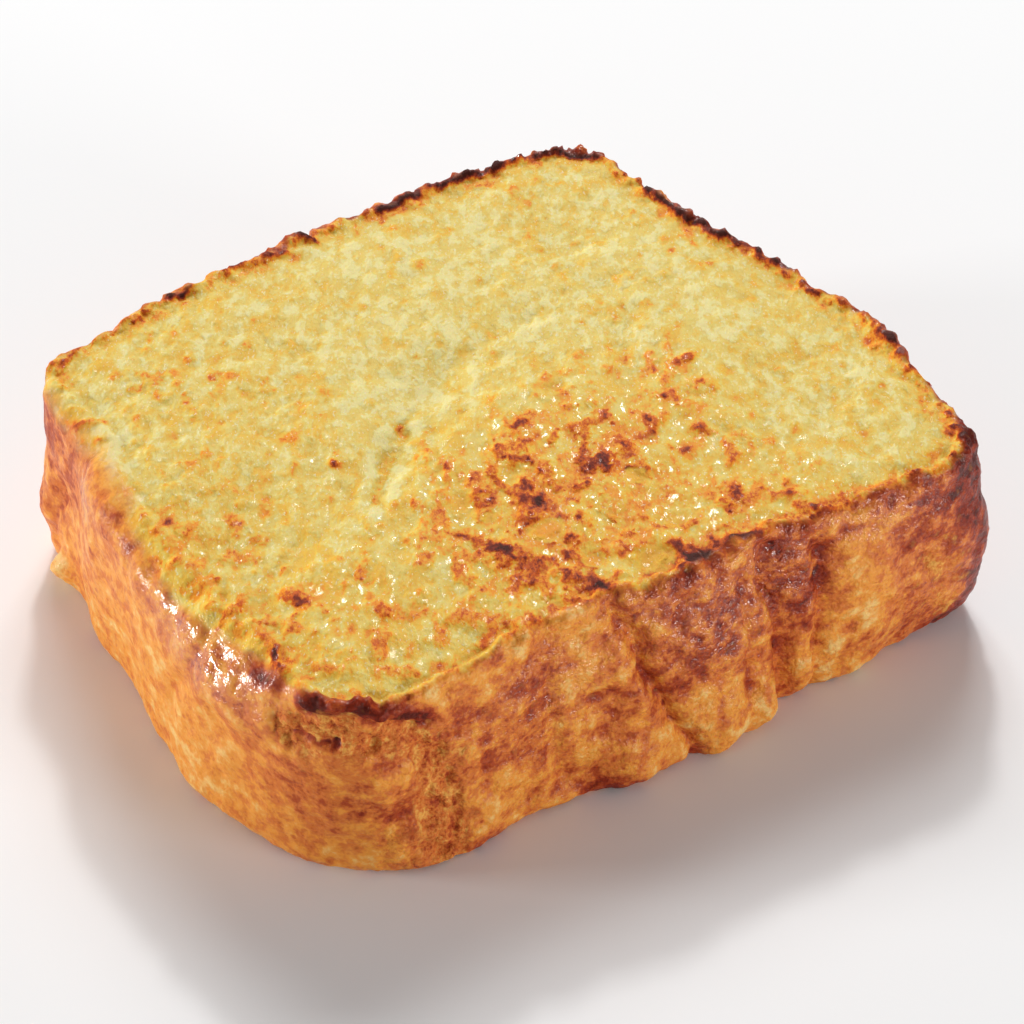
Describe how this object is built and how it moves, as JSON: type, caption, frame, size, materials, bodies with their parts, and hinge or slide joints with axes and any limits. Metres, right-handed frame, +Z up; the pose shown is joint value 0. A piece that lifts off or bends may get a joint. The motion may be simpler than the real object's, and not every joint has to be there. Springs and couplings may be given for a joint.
{
  "type": "french toast slice",
  "caption": "Thick slice of brioche french toast lying flat: griddled golden crumb with browned specks above, wrinkled brown crust round the sides.",
  "frame": {"origin": "centre of the slice's box in plan, on the surface it lies on", "axes": "+Z up through the slice's thickness, -Y towards the loaf's domed top crust, +Y towards its base crust, +X and -X towards the crusts that were against the tin's sides"},
  "size_m": [0.108, 0.1234, 0.0347],
  "materials": {
    "bread": "moist griddled crumb with a browned, partly glossy crust"
  },
  "bodies": {
    "root": {"toast_slice": "bread"}
  },
  "joints": []
}
